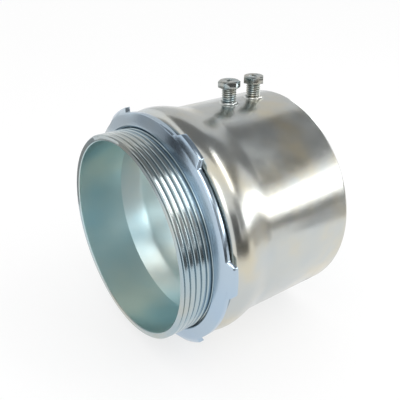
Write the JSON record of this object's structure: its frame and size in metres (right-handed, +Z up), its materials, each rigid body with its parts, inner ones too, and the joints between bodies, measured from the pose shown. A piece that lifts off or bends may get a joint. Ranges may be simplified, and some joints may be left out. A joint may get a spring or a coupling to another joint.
{
  "type": "box connector",
  "caption": "Set-screw box connector for thin-wall steel tube: threaded nipple with a lugged locknut, flared shoulder, socket and hex-head set screws.",
  "frame": {"origin": "on the axis of the bore, in the plane of the shoulder face that bears on the box wall", "axes": "+X along the axis, out of the socket's mouth; -X out of the threaded nipple; +Z up, through the set screws"},
  "size_m": [0.1066, 0.1348, 0.1391],
  "materials": {
    "body_zinc": "satin zinc plate, faintly straw and grey",
    "locknut_zinc": "bright blue-white zinc plate",
    "screw_zinc": "grey zinc plate"
  },
  "bodies": {
    "connector": {"connector_body": "body_zinc"},
    "locknut": {"locknut": "locknut_zinc"},
    "front_screw": {"set_screw_front": "screw_zinc"},
    "rear_screw": {"set_screw_rear": "screw_zinc"}
  },
  "joints": [
    {"name": "locknut_travel", "type": "slide", "parent": "connector", "child": "locknut", "axis": [1, 0, 0], "range_m": [-0.0195, 0.0029]},
    {"name": "front_screw_travel", "type": "slide", "parent": "connector", "child": "front_screw", "axis": [0, 0, -1], "range_m": [-0.002, 0.0076]},
    {"name": "rear_screw_travel", "type": "slide", "parent": "connector", "child": "rear_screw", "axis": [0, 0, -1], "range_m": [-0.002, 0.0076]}
  ]
}
